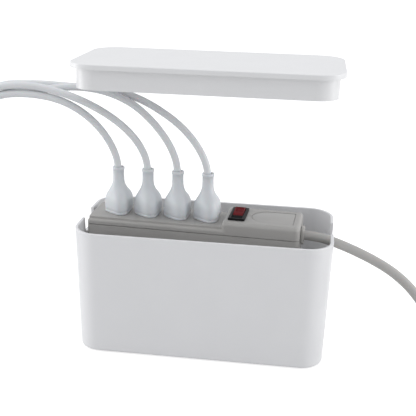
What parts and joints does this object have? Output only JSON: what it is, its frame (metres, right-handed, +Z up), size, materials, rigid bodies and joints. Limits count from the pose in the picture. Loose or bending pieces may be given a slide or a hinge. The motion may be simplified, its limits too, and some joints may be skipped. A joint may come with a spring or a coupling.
{
  "type": "cable management box with power strip",
  "caption": "White cable box with end slots, a lift-off lid with a skirt, and a raised power strip carrying tapered plugs, cords, a rocker switch and a lead.",
  "frame": {"origin": "on the surface that the box stands on, under the middle of the tub and lid", "axes": "+X along the box towards the strip's lead, +Y away from the viewer, +Z up"},
  "size_m": [0.6953, 0.1405, 0.2702],
  "materials": {
    "box_white": "satin",
    "lid_white": "satin",
    "foot_rubber": "matte",
    "strip_light_grey": "satin",
    "strip_dark_grey": "satin",
    "contact_brass": "satin",
    "switch_black": "gloss",
    "rocker_red": "gloss",
    "lamp_glass": "clear",
    "board_green": "matte",
    "varistor_blue": "matte",
    "capacitor_yellow": "matte",
    "screw_steel": "satin",
    "label_grey": "satin",
    "grip_rubber": "matte",
    "tie_grey": "matte",
    "lead_sheath": "satin",
    "lead_plug_grey": "satin",
    "blade_nickel": "satin",
    "plug_pale_grey": "satin",
    "cord_sheath": "satin",
    "connector_grey": "satin"
  },
  "bodies": {
    "root": {"tub": "box_white", "tub_feet": "foot_rubber", "cord_1_run": "cord_sheath", "cord_1_coil": "cord_sheath", "cord_1_connector": "connector_grey", "cord_2_run": "cord_sheath", "cord_2_coil": "cord_sheath", "cord_2_connector": "connector_grey", "cord_3_run": "cord_sheath", "cord_3_coil": "cord_sheath", "cord_3_connector": "connector_grey", "cord_4_run": "cord_sheath", "cord_4_coil": "cord_sheath", "cord_4_connector": "connector_grey", "cord_tie": "tie_grey", "cord_wrap": "tie_grey", "lead_tie": "tie_grey", "lead_run": "lead_sheath", "lead_coil": "lead_sheath", "lead_plug_body": "lead_plug_grey", "lead_plug_blades": "blade_nickel", "lead_plug_pin": "blade_nickel"},
    "lid": {"lid": "lid_white"},
    "strip": {"strip_upper": "strip_light_grey", "strip_lower": "strip_dark_grey", "bar_live": "contact_brass", "bar_neutral": "contact_brass", "bar_earth": "contact_brass", "switch_housing": "switch_black", "switch_lamp": "lamp_glass", "switch_terminals": "contact_brass", "surge_board": "board_green", "varistors": "varistor_blue", "noise_capacitor": "capacitor_yellow", "strip_screws": "screw_steel", "label_plate": "label_grey", "cord_grip": "grip_rubber", "plug_1_body": "plug_pale_grey", "plug_1_blades": "blade_nickel", "plug_1_pin": "blade_nickel", "plug_2_body": "plug_pale_grey", "plug_2_blades": "blade_nickel", "plug_2_pin": "blade_nickel", "plug_3_body": "plug_pale_grey", "plug_3_blades": "blade_nickel", "plug_3_pin": "blade_nickel", "plug_4_body": "plug_pale_grey", "plug_4_blades": "blade_nickel", "plug_4_pin": "blade_nickel"},
    "rocker": {"switch_rocker": "rocker_red"}
  },
  "joints": [
    {"name": "strip_lower", "type": "slide", "parent": "root", "child": "strip", "axis": [0, 0, 1], "range_m": [-0.082, 0], "deforming": ["cord_1_run", "cord_2_run", "cord_3_run", "cord_4_run", "lead_run"]},
    {"name": "lid_close", "type": "slide", "parent": "root", "child": "lid", "axis": [0, 0, 1], "range_m": [-0.1465, 0]},
    {"name": "switch_rock", "type": "hinge", "parent": "strip", "child": "rocker", "pos_m": [0.02944, -0.00413, 0.12835], "axis": [0.9986, -0.0523, 0], "range_deg": [-15, 0]}
  ],
  "couplings": [
    {"joint": "lid_close", "follows": "strip_lower", "ratio": 1.7854}
  ]
}
